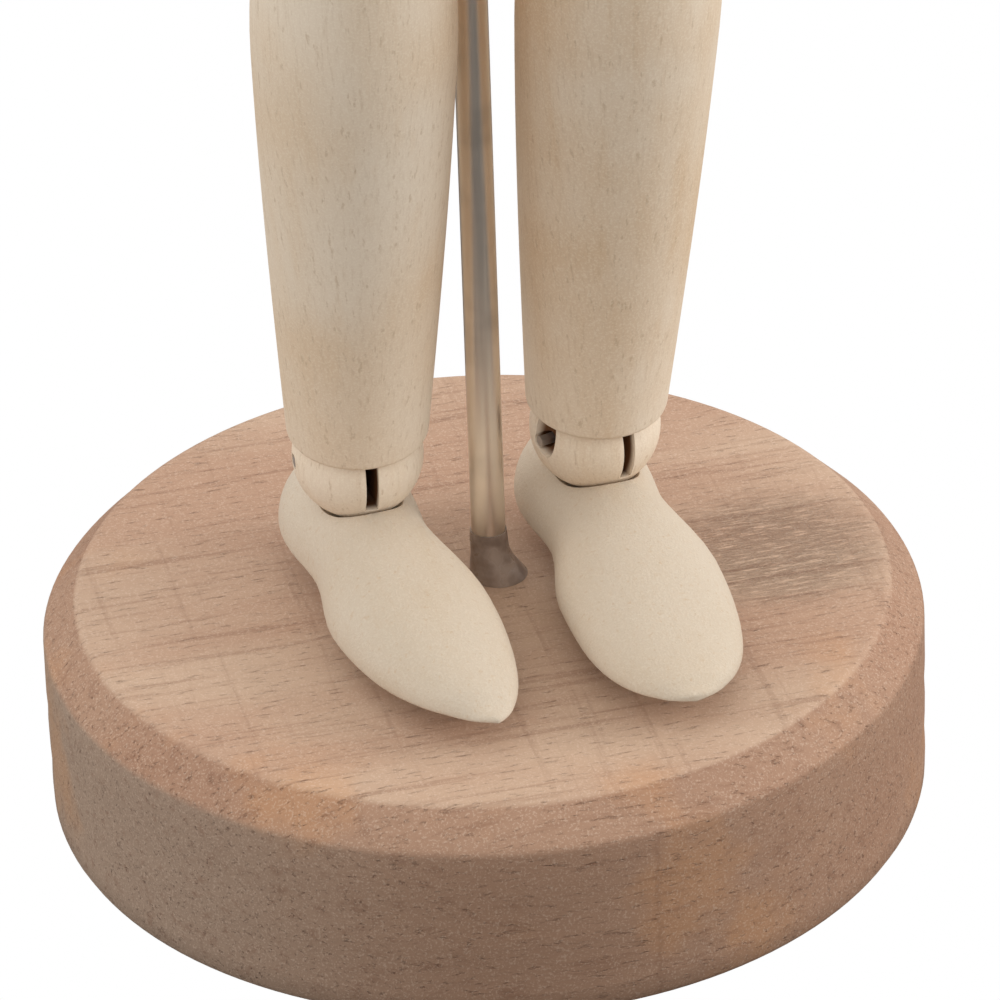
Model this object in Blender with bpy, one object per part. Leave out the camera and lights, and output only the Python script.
"""Wooden artist mannequin on a round stand, with slotted ball joints, cross pins and inner springs.

The origin is the centre of the stand's underside, +Z is up, and the figure faces -Y.
"Right" and "left" are the figure's own sides, so right is at -X.
"""

import math

import bmesh
import bpy
from mathutils import Matrix, Vector

MM = 0.001

# Stand
BASE_RADIUS = 45.0 * MM
BASE_HEIGHT = 23.2 * MM
BASE_CHAMFER_WIDTH = 3.6 * MM
BASE_CHAMFER_DROP = 3.7 * MM
BASE_FOOT_CHAMFER = 0.8 * MM
BASE_EDGE = 0.35 * MM
BASE_SEGMENTS = 40
ROD_RADIUS = 1.75 * MM
ROD_DEPTH_IN_BASE = 16.0 * MM
ROD_DEPTH_IN_PELVIS = 11.0 * MM
ROD_HEADROOM = 1.5 * MM
ROD_TIP = 0.3 * MM
ROD_SEGMENTS = 20
GLUE_HEIGHT = 5.5 * MM
GLUE_TOP_WALL = 0.6 * MM
GLUE_FOOT_RADIUS = 3.1 * MM
GLUE_OFFSET = Vector((1.1, 0.5, 0.0)) * MM
GLUE_FLARE = 2.2
GLUE_STEPS = 4
ROD_PLACE = Vector((0.8, 0.0, 0.0)) * MM

# Clearances
GAP = 0.3 * MM
PIN_CLEARANCE = 0.25 * MM
FOOT_CLEARANCE = 1.5 * MM
CUT_BEYOND = 2.0 * MM

# Balls
WAIST_BALL = 8.6 * MM
NECK_BALL = 6.2 * MM
SHOULDER_BALL = 6.5 * MM
ELBOW_BALL = 5.4 * MM
WRIST_BALL = 4.2 * MM
HIP_BALL = 7.2 * MM
KNEE_BALL = 7.4 * MM
ANKLE_BALL = 6.65 * MM
KERF_WIDTH = 1.3 * MM
KERF_BELOW_PIN = 3.6 * MM
PIN_RADIUS = 0.6 * MM
PEG_RADIUS = 2.0 * MM
PEG_LENGTH = 5.0 * MM
BALL_SEGMENTS = 12
BALL_RINGS = 7

# Springs
WIRE_RADIUS = 0.25 * MM
EYE_RADIUS = 1.3 * MM
COIL_RADIUS = 1.7 * MM
COIL_SPACE = 3.0 * MM
COIL_TURNS = 4
COIL_STEPS = 6
SPRING_BORE = 2.5 * MM
ANCHOR_RADIUS = 0.6 * MM

# Legs
SHIN_LENGTH = 85.0 * MM
SHIN_CALF_RADIUS = 10.0 * MM
THIGH_LENGTH = 74.0 * MM
THIGH_WIDEST_RADIUS = 10.3 * MM
HIP_SPREAD = 14.0 * MM
ANKLE_START = 3.2 * MM
KNEE_START = 4.4 * MM
HIP_START = 3.4 * MM
RIM_ROUND = 0.6 * MM
RIM_WALL = 0.4 * MM
WIDEST_AT = 0.62
LIMB_SEGMENTS = 14
LIMB_STEPS = 5

# Feet
ANKLE_ABOVE_SOLE = 13.5 * MM
HEEL_LENGTH = 13.0 * MM
TOE_LENGTH = 36.5 * MM
RIGHT_FOOT_WIDTH = 16.4 * MM
LEFT_FOOT_WIDTH = 17.0 * MM
POINTED_TOE = (1.9, 0.72)
BLUNT_TOE = (2.5, 0.56)
HEEL_WIDTH = 14.2 * MM
WAIST_WIDTH = 12.8 * MM
HEEL_WIDEST = 9.0 * MM
WAIST_PLACE = 17.0 * MM
FOOT_WIDEST = 28.0 * MM
HEEL_RISE = 3.4 * MM
INSTEP_HEIGHT = 9.6 * MM
HEEL_DROP = 2.4 * MM
TOE_DROP = 5.6 * MM
INSTEP_SWELL = 0.9 * MM
TOE_THICKNESS = 1.2 * MM
TOE_RISE_START = 22.0 * MM
TOE_RISE = 2.6 * MM
FOOT_SECTIONS = 12
FOOT_SEGMENTS = 16
RIGHT_ANKLE = Vector((-12.4, 3.4)) * MM
LEFT_ANKLE = Vector((11.9, 2.0)) * MM
RIGHT_TOE_TURN = math.radians(4.4)
LEFT_TOE_TURN = math.radians(3.0)
RIGHT_KNEE_TURN = math.radians(4.0)
LEFT_KNEE_TURN = math.radians(8.0)
RIGHT_ANKLE_PIN_TURN = math.radians(0.0)
LEFT_ANKLE_PIN_TURN = math.radians(17.0)
RIGHT_TOE_SKEW = 2.4 * MM
LEFT_TOE_SKEW = -1.6 * MM

# Arms
UPPER_ARM_LENGTH = 46.0 * MM
UPPER_ARM_WIDEST_RADIUS = 7.2 * MM
SHOULDER_START = 3.8 * MM
ELBOW_START = 3.2 * MM
WRIST_START = 2.0 * MM
FOREARM_LENGTH = 44.0 * MM
FOREARM_WIDEST_RADIUS = 6.9 * MM
HAND_LENGTH = 26.0 * MM
HAND_WIDTH = 11.0 * MM
HAND_THICKNESS = 6.0 * MM
HAND_START = 2.2 * MM
HAND_BEND = 2.4 * MM
HAND_SECTIONS = 8
THUMB_RADIUS = 1.9 * MM
THUMB_TIP_LOSS = 0.9 * MM
THUMB_ROOT = Vector((0.8, -3.2, -6.5)) * MM
THUMB_LENGTH = 10.5 * MM
THUMB_SPREAD = 3.9 * MM
THUMB_SECTIONS = 5
ARM_OUT = math.radians(9.0)
FOREARM_FORWARD = math.radians(14.0)

# Torso and head
PELVIS_HEIGHT = 28.0 * MM
PELVIS_ABOVE_HIP = 3.2 * MM
PELVIS_HALF_WIDTH = 21.5 * MM
PELVIS_HALF_DEPTH = 13.0 * MM
PELVIS_WAIST_HALF_WIDTH = 13.5 * MM
PELVIS_DEPTH_LOSS = 2.0 * MM
PELVIS_SECTIONS = 7
CHEST_SECTIONS = 9
CHEST_TOP_HALF_WIDTH = 11.0 * MM
CHEST_BORE_WALL = 0.2 * MM
HEAD_SECTIONS = 10
HEAD_WIDEST_AT = 0.60
CHIN_FORWARD = 2.4 * MM
WAIST_START = 3.6 * MM
CHEST_HEIGHT = 50.0 * MM
CHEST_WAIST_HALF_WIDTH = 12.5 * MM
CHEST_HALF_WIDTH = 21.4 * MM
CHEST_HALF_DEPTH = 13.5 * MM
SHOULDER_SPREAD = 29.0 * MM
SHOULDER_BELOW_CHEST_TOP = 10.0 * MM
NECK_START = 2.6 * MM
HEAD_HEIGHT = 39.0 * MM
HEAD_HALF_WIDTH = 13.0 * MM
HEAD_HALF_DEPTH = 15.5 * MM
TORSO_SEGMENTS = 16

PALE_WOOD = (0.80, 0.66, 0.47)
BASE_WOOD = (0.56, 0.36, 0.24)
STEEL = (0.55, 0.53, 0.50)
GLUE = (0.33, 0.27, 0.22)

UP = Vector((0.0, 0.0, 1.0))
FORWARD = Vector((0.0, -1.0, 0.0))
ACROSS = Vector((1.0, 0.0, 0.0))


def clear_scene():
    """Remove everything that the startup scene holds."""
    for thing in list(bpy.data.objects):
        bpy.data.objects.remove(thing)


def make_material(name, colour, roughness, metallic=0.0):
    """A plain Principled material."""
    material = bpy.data.materials.new(name)
    material.use_nodes = True
    shader = material.node_tree.nodes["Principled BSDF"]
    shader.inputs["Base Color"].default_value = (*colour, 1.0)
    shader.inputs["Roughness"].default_value = roughness
    shader.inputs["Metallic"].default_value = metallic
    return material


def wood(name):
    return make_material(name, PALE_WOOD, 0.6)


def steel(name):
    return make_material(name, STEEL, 0.3, 1.0)


def frame_at(origin, along, across):
    """A frame at origin whose Z runs along, and whose X is as near across as it can be."""
    z = along.normalized()
    x = (across - z * across.dot(z)).normalized()
    turn = Matrix((x, z.cross(x), z)).transposed()
    return Matrix.Translation(origin) @ turn.to_4x4()


def add_object(name, shape, place, material=None):
    """Link a finished bmesh as an object at its place."""
    bmesh.ops.remove_doubles(shape, verts=shape.verts, dist=1e-7)
    bmesh.ops.recalc_face_normals(shape, faces=shape.faces)
    mesh = bpy.data.meshes.new(name)
    shape.to_mesh(mesh)
    shape.free()
    mesh.shade_smooth()
    mesh.set_sharp_from_angle(angle=math.radians(40))
    thing = bpy.data.objects.new(name, mesh)
    if material:
        mesh.materials.append(material)
    thing.matrix_world = place
    bpy.context.scene.collection.objects.link(thing)
    return thing


def ring_shape(rings, closed=False):
    """A bmesh through rings of points; the ends are capped, or joined when closed."""
    shape = bmesh.new()
    rows = [[shape.verts.new(point) for point in ring] for ring in rings]
    pairs = list(zip(rows, rows[1:]))
    if closed:
        pairs.append((rows[-1], rows[0]))
    for low, high in pairs:
        for i in range(len(low)):
            j = (i + 1) % len(low)
            shape.faces.new((low[i], low[j], high[j], high[i]))
    if not closed:
        shape.faces.new(rows[0])
        shape.faces.new(rows[-1])
    return shape


def turned_shape(profile, segments, closed=False):
    """Spin a profile of (radius, height) points about Z. An open profile ends on the axis."""
    shape = bmesh.new()
    points = [shape.verts.new((radius, 0.0, height)) for radius, height in profile]
    edges = [shape.edges.new(pair) for pair in zip(points, points[1:])]
    if closed:
        edges.append(shape.edges.new((points[-1], points[0])))
    bmesh.ops.spin(
        shape, geom=points + edges, cent=(0, 0, 0), axis=(0, 0, 1),
        angle=math.tau, steps=segments, use_merge=True, use_duplicate=False,
    )
    return shape


def arc(radius, start, end, steps, centre=(0.0, 0.0)):
    """Points on an arc, with angles measured from the +radius direction towards +height."""
    angles = [start + (end - start) * i / steps for i in range(steps + 1)]
    return [(centre[0] + radius * math.cos(a), centre[1] + radius * math.sin(a)) for a in angles]


def cut(target, cutter):
    """Subtract a hidden cutter from target."""
    cutter.hide_render = True
    cutter.display_type = "WIRE"
    modifier = target.modifiers.new(cutter.name, "BOOLEAN")
    modifier.operation = "DIFFERENCE"
    modifier.object = cutter


def cylinder_cutter(name, place, radius, low, high, segments=12):
    """A cylinder along the Z of its place, from low to high."""
    shape = turned_shape([(0.0, low), (radius, low), (radius, high), (0.0, high)], segments)
    return add_object(name, shape, place)


def sphere_cutter(name, place, radius):
    """A ball whose flat facets, and not only its corners, clear the radius."""
    outer = radius / (math.cos(math.pi / BALL_SEGMENTS) * math.cos(math.pi / 2 / BALL_RINGS))
    shape = turned_shape(arc(outer, -math.pi / 2, math.pi / 2, BALL_RINGS), BALL_SEGMENTS)
    turn = Matrix.Rotation(0.4 * math.pi / BALL_SEGMENTS, 4, "Z")
    return add_object(name, shape, place @ turn)


def box_cutter(name, place, low, high):
    """A box between two corners in the frame of its place."""
    shape = bmesh.new()
    bmesh.ops.create_cube(shape, size=1.0)
    for vert in shape.verts:
        vert.co = Vector([low[i] if vert.co[i] < 0 else high[i] for i in range(3)])
    return add_object(name, shape, place)


def seat_ball(target, name, centre, radius, peg_way=None):
    """Hollow target for a ball and, where the ball's peg enters it, for the peg."""
    cut(target, sphere_cutter(name + "_seat_cut", Matrix.Translation(centre), radius + GAP))
    if peg_way is not None:
        across = FORWARD if abs(peg_way.dot(FORWARD)) < 0.9 else ACROSS
        cut(target, cylinder_cutter(
            name + "_bore_cut", frame_at(centre, peg_way, across), PEG_RADIUS + GAP,
            radius * 0.5, radius + PEG_LENGTH + GAP,
        ))


def make_ball(name, centre, radius, peg_way, open_way, pin_way):
    """A ball with a turned peg, a kerf that opens away from the peg, and a cross pin."""
    root = math.sqrt(radius**2 - PEG_RADIUS**2)
    start = math.atan2(root, PEG_RADIUS)
    end_round = 0.4 * MM
    tip = radius + PEG_LENGTH
    profile = [(0.0, tip), (PEG_RADIUS - end_round, tip), (PEG_RADIUS, tip - end_round)]
    profile += arc(radius, start, -math.pi / 2, BALL_RINGS)
    ball = add_object(
        name, turned_shape(profile, BALL_SEGMENTS), frame_at(centre, peg_way, pin_way), wood(name)
    )
    reach = radius + 1.0 * MM
    straight = abs(peg_way.dot(open_way)) > 0.5
    kerf_frame = frame_at(centre, open_way, pin_way)
    sideways = kerf_frame.to_3x3() @ Vector((0.0, 1.0, 0.0))
    low_y, high_y = -reach, reach
    if not straight and sideways.dot(peg_way) > 0:
        high_y = KERF_BELOW_PIN
    elif not straight:
        low_y = -KERF_BELOW_PIN
    cut(ball, box_cutter(
        name + "_kerf_cut", kerf_frame,
        (-KERF_WIDTH / 2, low_y, -KERF_BELOW_PIN), (KERF_WIDTH / 2, high_y, reach),
    ))
    pin_frame = frame_at(centre, pin_way, peg_way)
    cut(ball, cylinder_cutter(
        name + "_pin_cut", pin_frame, PIN_RADIUS + PIN_CLEARANCE, -reach, reach, 6
    ))
    half = math.sqrt(radius**2 - (2 * PIN_RADIUS) ** 2)
    profile = [(0.0, -half), (PIN_RADIUS, -half), (PIN_RADIUS, half), (0.0, half)]
    add_object(
        name.replace("_ball", "_pin"), turned_shape(profile, 6), pin_frame,
        steel(name.replace("_ball", "_pin")),
    )
    return ball


def socket_arc(ball, start, bore, steps=3):
    """The seat's arc, from the rim at start above the ball's centre to the bore."""
    seat = (ball + GAP) / math.cos(math.pi / LIMB_SEGMENTS)
    return arc(seat, math.asin(start / seat), math.acos(bore / seat), steps)


def rim_radius(ball, start):
    """Outer radius of a limb's rim, which leaves a wall outside the ball's seat."""
    return socket_arc(ball, start, SPRING_BORE)[0][0] + RIM_WALL + RIM_ROUND


def make_limb(name, bottom, top, widest_radius, balls, starts, across, bottom_bore=SPRING_BORE):
    """A turned limb between two ball centres, with a seat and a bore at each end."""
    length = (top - bottom).length
    bottom_radius = rim_radius(balls[0], starts[0])
    top_radius = rim_radius(balls[1], starts[1])
    low, high = starts[0], length - starts[1]
    profile = list(reversed(socket_arc(balls[0], starts[0], bottom_bore)))
    profile.append((bottom_radius - RIM_ROUND, low))
    for i in range(LIMB_STEPS + 1):
        height = low + RIM_ROUND + (high - low - 2 * RIM_ROUND) * i / LIMB_STEPS
        share = (height - low) / (high - low)
        if share < WIDEST_AT:
            blend = math.sin(share / WIDEST_AT * math.pi / 2) * 0.4 + share / WIDEST_AT * 0.6
            radius = bottom_radius + (widest_radius - bottom_radius) * blend
        else:
            blend = math.cos((share - WIDEST_AT) / (1 - WIDEST_AT) * math.pi / 2) ** 0.8
            radius = top_radius + (widest_radius - top_radius) * blend
        profile.append((radius, height))
    profile.append((top_radius - RIM_ROUND, high))
    top_seat = socket_arc(balls[1], starts[1], SPRING_BORE)
    profile += [(radius, length - height) for radius, height in top_seat]
    if bottom_bore != SPRING_BORE:
        step = balls[0] + PEG_LENGTH + 2 * GAP
        profile += [(SPRING_BORE, step), (bottom_bore, step)]
    shape = turned_shape(profile, LIMB_SEGMENTS, closed=True)
    return add_object(name, shape, frame_at(bottom, top - bottom, across), wood(name))


def tube_shape(points, radius, sides=3):
    """A wire along points, with flat ends. Each ring lies square to the wire."""
    rings = []
    normal = Vector((0.3, 0.9, 0.2))
    for i, point in enumerate(points):
        ahead = points[min(i + 1, len(points) - 1)]
        behind = points[max(i - 1, 0)]
        tangent = (ahead - behind).normalized()
        normal = (normal - tangent * normal.dot(tangent)).normalized()
        other = tangent.cross(normal)
        angles = [math.tau * k / sides for k in range(sides)]
        rings.append([
            point + (normal * math.cos(a) + other * math.sin(a)) * radius for a in angles
        ])
    return ring_shape(rings)


def eye_points(centre, towards, side, from_shank):
    """Points round an open eye, which starts at the shank and ends short of it."""
    steps = 7
    sweep = math.radians(300)
    points = []
    for i in range(steps + 1):
        a = sweep * i / steps
        points.append(centre + (towards * math.cos(a) + side * math.sin(a)) * EYE_RADIUS)
    return points if from_shank else list(reversed(points))


def make_spring(name, bottom, top, pin_way):
    """A spring with an eye round a pin at each end, its coil in the middle of the bore."""
    along = (top - bottom).normalized()
    side = along.cross(pin_way).normalized()
    across = side.cross(along)
    length = (top - bottom).length
    start = 11.0 * MM
    turns = COIL_TURNS * COIL_STEPS
    points = eye_points(bottom, along, side, from_shank=False)
    points.append(bottom + along * (start - COIL_SPACE))
    for i in range(turns + 1):
        a = math.tau * i / COIL_STEPS
        height = start + (length - 2 * start) * i / turns
        radius = COIL_RADIUS
        points.append(bottom + along * height + (side * math.cos(a) + across * math.sin(a)) * radius)
    points.append(top - along * (start - COIL_SPACE))
    points += eye_points(top, -along, side, from_shank=True)
    add_object(name, tube_shape(points, WIRE_RADIUS), Matrix.Identity(4), steel(name))


def make_anchor(name, centre, pin_way, half_length, limb):
    """A pin right across a limb, which holds the spring's other end, in its own drilled hole."""
    place = frame_at(centre, pin_way, UP if abs(pin_way.z) < 0.9 else ACROSS)
    radius = ANCHOR_RADIUS
    profile = [(0.0, -half_length), (radius, -half_length), (radius, half_length), (0.0, half_length)]
    add_object(name, turned_shape(profile, 6), place, steel(name))
    reach = half_length + 5.0 * MM
    cut(limb, cylinder_cutter(name + "_cut", place, radius + PIN_CLEARANCE, -reach, reach, 6))


def ellipse(centre, half_x, half_y, segments, power=2.0):
    """A ring in a level plane; a power over 2 squares it off."""
    points = []
    for i in range(segments):
        a = math.tau * i / segments
        c, s = math.cos(a), math.sin(a)
        x = math.copysign(abs(c) ** (2 / power), c) * half_x
        y = math.copysign(abs(s) ** (2 / power), s) * half_y
        points.append(centre + Vector((x, y, 0.0)))
    return points


def smooth(share):
    """0 to 1 with level ends."""
    return share * share * (3 - 2 * share)


def knee_between(hip, ankle, turn):
    """The knee's centre, bent forward between a hip and an ankle, turned a little about Z."""
    line = hip - ankle
    reach = line.length
    down = (SHIN_LENGTH**2 - THIGH_LENGTH**2 + reach**2) / (2 * reach)
    out = math.sqrt(SHIN_LENGTH**2 - down**2)
    way = line.normalized()
    ahead = Matrix.Rotation(turn, 3, "Z") @ FORWARD
    bend = (ahead - way * ahead.dot(way)).normalized()
    return ankle + way * down + bend * out


def make_stand():
    """The round base with the rod's blind hole, the rod and the glue round its foot.

    Everything is laid out from the rod's axis, so the base stands off from it here.
    """
    edge = BASE_EDGE
    profile = [
        (0.0, 0.0),
        (BASE_RADIUS - BASE_FOOT_CHAMFER, 0.0),
        (BASE_RADIUS, BASE_FOOT_CHAMFER),
        (BASE_RADIUS, BASE_HEIGHT - BASE_CHAMFER_DROP - edge),
        (BASE_RADIUS - edge, BASE_HEIGHT - BASE_CHAMFER_DROP + edge),
        (BASE_RADIUS - BASE_CHAMFER_WIDTH + edge, BASE_HEIGHT - edge / 2),
        (BASE_RADIUS - BASE_CHAMFER_WIDTH - edge, BASE_HEIGHT),
        (0.0, BASE_HEIGHT),
    ]
    base = add_object(
        "base", turned_shape(profile, BASE_SEGMENTS), Matrix.Translation(-ROD_PLACE),
        make_material("base", BASE_WOOD, 0.75),
    )
    cut(base, cylinder_cutter(
        "base_rod_cut", Matrix.Identity(4), ROD_RADIUS + GAP,
        BASE_HEIGHT - ROD_DEPTH_IN_BASE - GAP, BASE_HEIGHT + CUT_BEYOND, ROD_SEGMENTS,
    ))
    low = BASE_HEIGHT - ROD_DEPTH_IN_BASE
    high = PELVIS_BOTTOM + ROD_DEPTH_IN_PELVIS
    profile = [
        (0.0, low), (ROD_RADIUS, low), (ROD_RADIUS, high - ROD_TIP),
        (ROD_RADIUS - ROD_TIP, high), (0.0, high),
    ]
    add_object("rod", turned_shape(profile, ROD_SEGMENTS), Matrix.Identity(4), steel("rod"))
    bore = ROD_RADIUS + GAP / 2
    rings = []
    for i in range(GLUE_STEPS + 1):
        share = i / GLUE_STEPS
        flare = (1 - share) ** GLUE_FLARE
        radius = bore + GLUE_TOP_WALL + (GLUE_FOOT_RADIUS - bore - GLUE_TOP_WALL) * flare
        height = BASE_HEIGHT + GAP + GLUE_HEIGHT * share
        centre = GLUE_OFFSET * flare + UP * height
        rings.append(ellipse(centre, radius, radius, 16))
    rings.append(ellipse(UP * (BASE_HEIGHT + GAP + GLUE_HEIGHT), bore, bore, 16))
    rings.append(ellipse(UP * (BASE_HEIGHT + GAP), bore, bore, 16))
    add_object(
        "glue_fillet", ring_shape(rings, closed=True), Matrix.Identity(4),
        make_material("glue_fillet", GLUE, 0.35),
    )


def between(start, end, share):
    """A value that goes smoothly from start to end."""
    return start + (end - start) * smooth(min(1.0, max(0.0, share)))


def foot_half_width(along, widest, toe_curve):
    """Half width of the foot at a distance from the back of its heel."""
    length = HEEL_LENGTH + TOE_LENGTH
    if along < HEEL_WIDEST:
        width = HEEL_WIDTH * math.sqrt(max(0.0, 1 - (1 - along / HEEL_WIDEST) ** 2))
    elif along < WAIST_PLACE:
        share = (along - HEEL_WIDEST) / (WAIST_PLACE - HEEL_WIDEST)
        width = between(HEEL_WIDTH, WAIST_WIDTH, share)
    elif along < FOOT_WIDEST:
        share = (along - WAIST_PLACE) / (FOOT_WIDEST - WAIST_PLACE)
        width = between(WAIST_WIDTH, widest, share)
    else:
        share = (along - FOOT_WIDEST) / (length - FOOT_WIDEST)
        swell, taper = toe_curve
        width = widest * max(0.0, 1 - share**swell) ** taper
    return width / 2


def foot_top(reach):
    """Height of the foot's ridge over its sole, at a distance forward of the ankle."""
    if reach < 0:
        return INSTEP_HEIGHT - HEEL_DROP * (reach / HEEL_LENGTH) ** 2
    share = reach / TOE_LENGTH
    swell = INSTEP_SWELL * math.sin(math.pi * share)
    return INSTEP_HEIGHT - TOE_DROP * smooth(min(1.0, share)) + swell


def foot_under(reach):
    """Height of the foot's underside over its sole: rounded up at heel and toe."""
    if reach < 0:
        return HEEL_RISE * (reach / HEEL_LENGTH) ** 2
    over = max(0.0, reach - TOE_RISE_START) / (TOE_LENGTH - TOE_RISE_START)
    return TOE_RISE * over**1.8


def make_foot(name, ankle, toe_turn, toe_skew, widest, toe_curve):
    """A shaped foot, lofted from heel to toe, seated for the ankle ball."""
    length = HEEL_LENGTH + TOE_LENGTH
    rings = []
    for i in range(FOOT_SECTIONS):
        along = length * (0.5 - 0.5 * math.cos(math.pi * (i + 0.35) / (FOOT_SECTIONS - 0.3)))
        reach = along - HEEL_LENGTH
        half = foot_half_width(along, widest, toe_curve)
        skew = toe_skew * (max(0.0, reach) / TOE_LENGTH) ** 2
        under = foot_under(reach)
        narrowing = min(1.0, half / (widest * 0.22)) ** 0.5
        top = max(foot_top(reach) * narrowing, under + TOE_THICKNESS)
        ring = []
        for k in range(FOOT_SEGMENTS):
            a = math.tau * k / FOOT_SEGMENTS
            c, s = math.cos(a), math.sin(a)
            side = math.copysign(abs(c) ** 0.8, c) * half
            middle = under + (top - under) * 0.25
            if s > 0:
                rise = (top - middle) * s**1.1
            else:
                rise = -(middle - under) * min(1.0, -s * 1.9)
            ring.append(Vector((side + skew, -reach, middle + rise - ANKLE_ABOVE_SOLE)))
        rings.append(ring)
    place = Matrix.Translation(ankle) @ Matrix.Rotation(toe_turn, 4, "Z")
    foot = add_object(name, ring_shape(rings), place, wood(name))
    seat_ball(foot, name, ankle, ANKLE_BALL, -UP)


def make_leg(side, hip, ankle, knee_turn, ankle_pin_turn, foot_form):
    """Hip ball, thigh, knee ball, shin, ankle ball and foot, with their pins and springs."""
    knee = knee_between(hip, ankle, knee_turn)
    thigh_way = (knee - hip).normalized()
    shin_way = (ankle - knee).normalized()
    ankle_pin_way = Matrix.Rotation(ankle_pin_turn, 3, "Z") @ ACROSS
    make_ball(side + "_hip_ball", hip, HIP_BALL, UP, -UP, ACROSS)
    make_ball(side + "_knee_ball", knee, KNEE_BALL, -thigh_way, shin_way, ACROSS)
    make_ball(side + "_ankle_ball", ankle, ANKLE_BALL, -UP, UP, ankle_pin_way)
    thigh = make_limb(
        side + "_thigh", knee, hip,
        THIGH_WIDEST_RADIUS, (KNEE_BALL, HIP_BALL), (KNEE_START, HIP_START), ACROSS,
        PEG_RADIUS + GAP,
    )
    make_limb(
        side + "_shin", ankle, knee,
        SHIN_CALF_RADIUS, (ANKLE_BALL, KNEE_BALL), (ANKLE_START, KNEE_START), ACROSS,
    )
    # The spring's eyes lie half way between the two pins that they hook over.
    make_spring(side + "_shin_spring", ankle, knee, (ankle_pin_way + ACROSS).normalized())
    anchor = knee - thigh_way * (THIGH_LENGTH * 0.42)
    make_spring(side + "_thigh_spring", anchor, hip, ACROSS)
    make_anchor(
        side + "_thigh_anchor_pin", anchor, ACROSS, rim_radius(KNEE_BALL, KNEE_START), thigh
    )
    make_foot(side + "_foot", ankle, *foot_form)


def make_hand(name, wrist, down, sign):
    """A mitten hand with its thumb forward, seated for the wrist ball."""
    rings = []
    for i in range(HAND_SECTIONS + 1):
        share = i / HAND_SECTIONS
        along = HAND_START + (HAND_LENGTH - HAND_START) * share
        width = HAND_WIDTH / 2 * (0.86 + 0.14 * math.sin(math.pi * min(1.0, share * 1.6)))
        width *= math.sqrt(max(0.02, 1 - max(0.0, (share - 0.62) / 0.385) ** 2))
        thick = HAND_THICKNESS / 2 * (1.28 - 0.72 * share)
        thick *= math.sqrt(max(0.06, 1 - max(0.0, (share - 0.8) / 0.21) ** 2))
        if share < 0.15:
            thick = max(thick, WRIST_BALL * 0.95)
        bend = HAND_BEND * share**2
        rings.append(ellipse(Vector((-sign * bend, 0.0, -along)), thick, width, 14))
    place = frame_at(wrist, -down, ACROSS)
    hand = add_object(name, ring_shape(rings), place, wood(name))
    root = Vector((-sign * THUMB_ROOT.x, THUMB_ROOT.y, THUMB_ROOT.z))
    rings = []
    for i in range(THUMB_SECTIONS + 1):
        share = i / THUMB_SECTIONS
        spread = THUMB_SPREAD * math.sin(share * 1.9)
        centre = root - Vector((0.0, spread, THUMB_LENGTH * share))
        radius = THUMB_RADIUS - THUMB_TIP_LOSS * share**2
        rings.append(ellipse(centre, radius, radius * 1.1, 8))
    thumb = add_object(name + "_thumb_form", ring_shape(rings), place)
    thumb.hide_render = True
    thumb.display_type = "WIRE"
    union = hand.modifiers.new("thumb", "BOOLEAN")
    union.operation = "UNION"
    union.object = thumb
    seat_ball(hand, name, wrist, WRIST_BALL, down)


def make_arm(side, sign, shoulder):
    """Shoulder ball, upper arm, elbow ball, forearm, wrist ball and hand."""
    out = ACROSS * sign
    upper_way = (-UP * math.cos(ARM_OUT) + out * math.sin(ARM_OUT)).normalized()
    elbow = shoulder + upper_way * UPPER_ARM_LENGTH
    raise_way = upper_way.cross(FORWARD)
    lower_way = Matrix.Rotation(FOREARM_FORWARD, 3, raise_way) @ upper_way
    wrist = elbow + lower_way * FOREARM_LENGTH
    make_ball(side + "_shoulder_ball", shoulder, SHOULDER_BALL, -out, upper_way, FORWARD)
    make_ball(side + "_elbow_ball", elbow, ELBOW_BALL, -upper_way, lower_way, raise_way)
    make_ball(side + "_wrist_ball", wrist, WRIST_BALL, lower_way, -lower_way, raise_way)
    upper = make_limb(
        side + "_upper_arm", elbow, shoulder,
        UPPER_ARM_WIDEST_RADIUS, (ELBOW_BALL, SHOULDER_BALL), (ELBOW_START, SHOULDER_START),
        raise_way, PEG_RADIUS + GAP,
    )
    make_limb(
        side + "_forearm", wrist, elbow,
        FOREARM_WIDEST_RADIUS, (WRIST_BALL, ELBOW_BALL), (WRIST_START, ELBOW_START), raise_way,
    )
    make_spring(side + "_forearm_spring", wrist, elbow, raise_way)
    anchor = elbow - upper_way * (UPPER_ARM_LENGTH * 0.42)
    make_spring(side + "_upper_arm_spring", anchor, shoulder, FORWARD)
    make_anchor(
        side + "_upper_arm_anchor_pin", anchor, FORWARD, rim_radius(ELBOW_BALL, ELBOW_START), upper
    )
    make_hand(side + "_hand", wrist, lower_way, sign)


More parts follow.
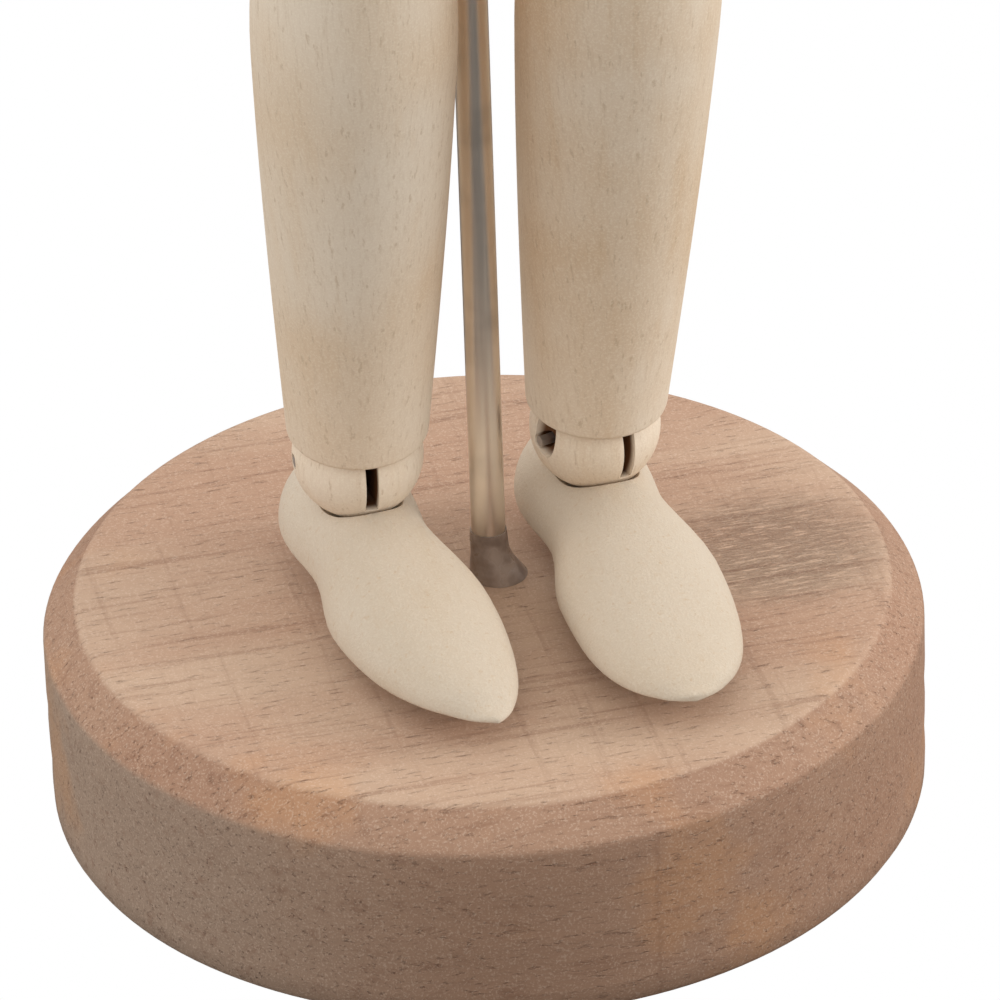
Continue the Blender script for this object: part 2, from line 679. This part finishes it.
def make_pelvis(hips, waist):
    """The pelvis block, with seats for both hip balls and the waist ball, and the rod's hole."""
    bottom = PELVIS_BOTTOM
    top = waist.z - WAIST_START
    rings = []
    for i in range(PELVIS_SECTIONS + 1):
        share = i / PELVIS_SECTIONS
        height = bottom + (top - bottom) * share
        wide = PELVIS_HALF_WIDTH + (PELVIS_WAIST_HALF_WIDTH - PELVIS_HALF_WIDTH) * smooth(share)
        deep = PELVIS_HALF_DEPTH - PELVIS_DEPTH_LOSS * smooth(share)
        edge = min(1.0, 0.86 + 0.5 * math.sin(math.pi * share))
        rings.append(ellipse(UP * height, wide * edge, deep * edge, TORSO_SEGMENTS, 2.3))
    pelvis = add_object("pelvis", ring_shape(rings), Matrix.Identity(4), wood("pelvis"))
    for side, hip in hips.items():
        seat_ball(pelvis, "pelvis_" + side, hip, HIP_BALL, UP)
    seat_ball(pelvis, "pelvis_waist", waist, WAIST_BALL, -UP)
    cut(pelvis, cylinder_cutter(
        "pelvis_rod_cut", Matrix.Identity(4), ROD_RADIUS + GAP,
        bottom - CUT_BEYOND, bottom + ROD_DEPTH_IN_PELVIS + ROD_HEADROOM, ROD_SEGMENTS,
    ))


def make_chest(waist, neck, shoulders):
    """The chest block, hollowed for the waist, neck and shoulder balls and its spring."""
    bottom = waist.z + WAIST_START
    top = neck.z - NECK_START
    rings = []
    for i in range(CHEST_SECTIONS + 1):
        share = i / CHEST_SECTIONS
        height = bottom + (top - bottom) * share
        wide = CHEST_WAIST_HALF_WIDTH + (CHEST_HALF_WIDTH - CHEST_WAIST_HALF_WIDTH) * smooth(
            min(1.0, share / 0.62)
        )
        if share > 0.86:
            wide -= (CHEST_HALF_WIDTH - CHEST_TOP_HALF_WIDTH) * smooth((share - 0.86) / 0.14)
        deep = CHEST_HALF_DEPTH * (0.86 + 0.14 * math.sin(math.pi * min(1.0, share * 1.15)))
        deep *= 1.0 if share < 0.8 else 1 - 0.34 * smooth((share - 0.8) / 0.2)
        rings.append(ellipse(UP * height, wide, deep, TORSO_SEGMENTS, 2.5))
    chest = add_object("chest", ring_shape(rings), Matrix.Identity(4), wood("chest"))
    seat_ball(chest, "chest_waist", waist, WAIST_BALL)
    seat_ball(chest, "chest_neck", neck, NECK_BALL)
    for side, (shoulder, sign) in shoulders.items():
        seat_ball(chest, "chest_" + side, shoulder, SHOULDER_BALL, ACROSS * -sign)
    cut(chest, cylinder_cutter(
        "chest_bore_cut", Matrix.Identity(4), SPRING_BORE + CHEST_BORE_WALL,
        waist.z, neck.z, LIMB_SEGMENTS,
    ))
    make_spring("chest_spring", waist, neck, ACROSS)


def make_head(neck):
    """An egg-shaped head, narrower and further forward at the chin, seated for the neck ball."""
    bottom = neck.z + NECK_START
    rings = []
    for i in range(HEAD_SECTIONS + 1):
        share = 0.5 - 0.5 * math.cos(math.pi * i / (HEAD_SECTIONS + 0.6))
        if share < HEAD_WIDEST_AT:
            size = 0.66 + 0.34 * math.sin(share / HEAD_WIDEST_AT * math.pi / 2)
        else:
            size = math.sqrt(1 - ((share - HEAD_WIDEST_AT) / (1.004 - HEAD_WIDEST_AT)) ** 2)
        chin = CHIN_FORWARD * (1 - smooth(min(1.0, share / HEAD_WIDEST_AT)))
        centre = UP * (bottom + HEAD_HEIGHT * share) + FORWARD * chin
        rings.append(ellipse(centre, HEAD_HALF_WIDTH * size, HEAD_HALF_DEPTH * size, TORSO_SEGMENTS))
    head = add_object("head", ring_shape(rings), Matrix.Identity(4), wood("head"))
    seat_ball(head, "head", neck, NECK_BALL, UP)


ANKLE_HEIGHT = BASE_HEIGHT + FOOT_CLEARANCE + ANKLE_ABOVE_SOLE
KNEE_FORWARD_LEAN = math.radians(8.2)
KNEE_HEIGHT = ANKLE_HEIGHT + SHIN_LENGTH * math.cos(KNEE_FORWARD_LEAN)
KNEE_FORWARD = SHIN_LENGTH * math.sin(KNEE_FORWARD_LEAN) - (RIGHT_ANKLE.y + LEFT_ANKLE.y) / 2
HIP_HEIGHT = KNEE_HEIGHT + math.sqrt(THIGH_LENGTH**2 - KNEE_FORWARD**2)
PELVIS_BOTTOM = HIP_HEIGHT + PELVIS_ABOVE_HIP
WAIST = UP * (PELVIS_BOTTOM + PELVIS_HEIGHT)
NECK = WAIST + UP * (WAIST_START + CHEST_HEIGHT + NECK_START)
SHOULDER_HEIGHT = NECK.z - NECK_START - SHOULDER_BELOW_CHEST_TOP


def move_to_rod():
    """Bring the base's centre to the origin, with the rod and figure at the rod's place."""
    for thing in bpy.data.objects:
        thing.matrix_world = Matrix.Translation(ROD_PLACE) @ thing.matrix_world


def main():
    """Build the whole mannequin."""
    clear_scene()
    hips = {
        "right": Vector((-HIP_SPREAD, 0.0, HIP_HEIGHT)),
        "left": Vector((HIP_SPREAD, 0.0, HIP_HEIGHT)),
    }
    ankles = {
        "right": Vector((*RIGHT_ANKLE, ANKLE_HEIGHT)),
        "left": Vector((*LEFT_ANKLE, ANKLE_HEIGHT)),
    }
    turns = {
        "right": (RIGHT_KNEE_TURN, RIGHT_ANKLE_PIN_TURN),
        "left": (LEFT_KNEE_TURN, LEFT_ANKLE_PIN_TURN),
    }
    foot_forms = {
        "right": (RIGHT_TOE_TURN, RIGHT_TOE_SKEW, RIGHT_FOOT_WIDTH, POINTED_TOE),
        "left": (LEFT_TOE_TURN, LEFT_TOE_SKEW, LEFT_FOOT_WIDTH, BLUNT_TOE),
    }
    shoulders = {
        "right": (Vector((-SHOULDER_SPREAD, 0.0, SHOULDER_HEIGHT)), -1.0),
        "left": (Vector((SHOULDER_SPREAD, 0.0, SHOULDER_HEIGHT)), 1.0),
    }
    make_stand()
    for side in ("right", "left"):
        make_leg(side, hips[side], ankles[side], *turns[side], foot_forms[side])
    make_ball("waist_ball", WAIST, WAIST_BALL, -UP, UP, ACROSS)
    make_ball("neck_ball", NECK, NECK_BALL, UP, -UP, ACROSS)
    make_pelvis(hips, WAIST)
    make_chest(WAIST, NECK, shoulders)
    make_head(NECK)
    for side in ("right", "left"):
        shoulder, sign = shoulders[side]
        make_arm(side, sign, shoulder)
    move_to_rod()


if __name__ == "__main__":
    main()
